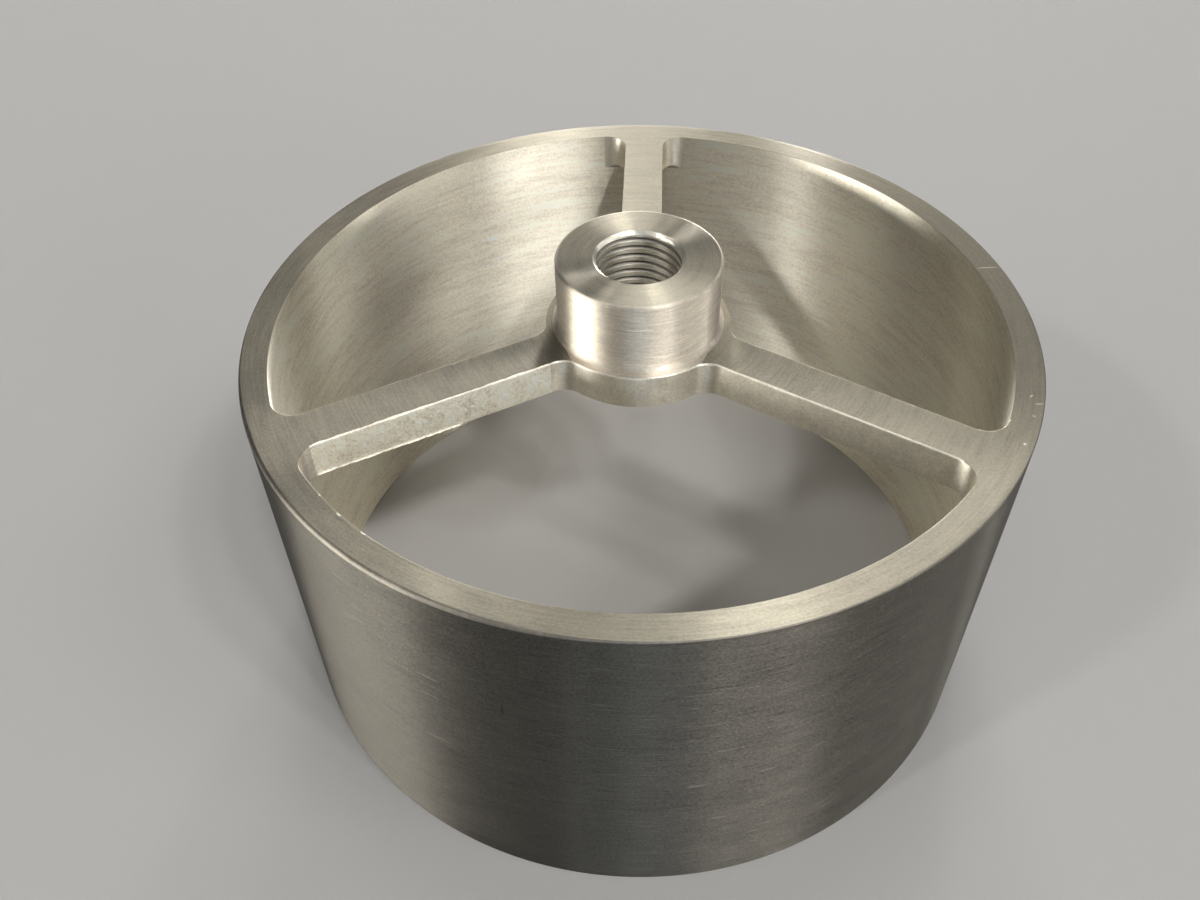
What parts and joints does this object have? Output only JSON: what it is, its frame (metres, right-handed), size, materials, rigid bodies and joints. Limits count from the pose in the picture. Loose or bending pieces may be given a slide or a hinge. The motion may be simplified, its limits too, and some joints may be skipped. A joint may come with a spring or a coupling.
{
  "type": "spoked ring hub",
  "caption": "Turned steel ring, open at its base, with milled windows in its top web and a raised hub collar tapped right through on the axis.",
  "frame": {"origin": "on the ring's axis, in the plane of its open end", "axes": "+Z along the axis, up through the threaded collar; +Y along the first spoke"},
  "size_m": [0.108, 0.108, 0.0663],
  "materials": {
    "steel": "turned and milled stainless steel, uncoated, with light handling marks"
  },
  "bodies": {
    "root": {"spoked_ring": "steel"}
  },
  "joints": []
}
